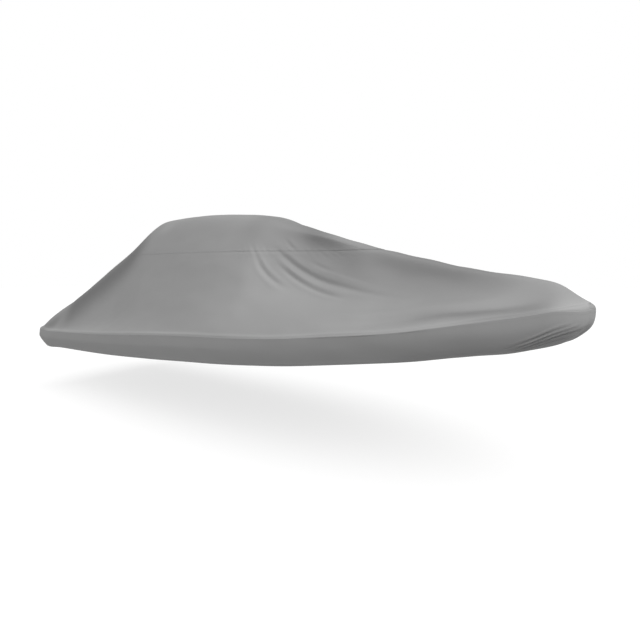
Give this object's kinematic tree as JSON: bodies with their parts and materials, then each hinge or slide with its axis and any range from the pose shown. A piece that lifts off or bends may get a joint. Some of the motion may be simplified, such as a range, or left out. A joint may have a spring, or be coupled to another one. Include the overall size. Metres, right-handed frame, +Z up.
{
  "type": "boat cover",
  "caption": "Fitted outdoor cover of grey coated cloth for a long hull with a raised top: crown panel, deck panel and tucked-in skirt band.",
  "frame": {"origin": "the point under the cloth of the raised top, 3.4 m forward of the stern edge on the centreline, where the covered hull's top holds the cover up", "axes": "+X forward to the bow, +Y to port, +Z up"},
  "size_m": [8.3106, 2.5856, 2.1654],
  "materials": {
    "crown_cloth": "matt coated polyester weave",
    "deck_cloth": "matt coated polyester weave",
    "skirt_cloth": "matt coated polyester weave"
  },
  "bodies": {
    "root": {"crown_panel": "crown_cloth", "deck_panel": "deck_cloth", "skirt_band": "skirt_cloth"}
  },
  "joints": []
}
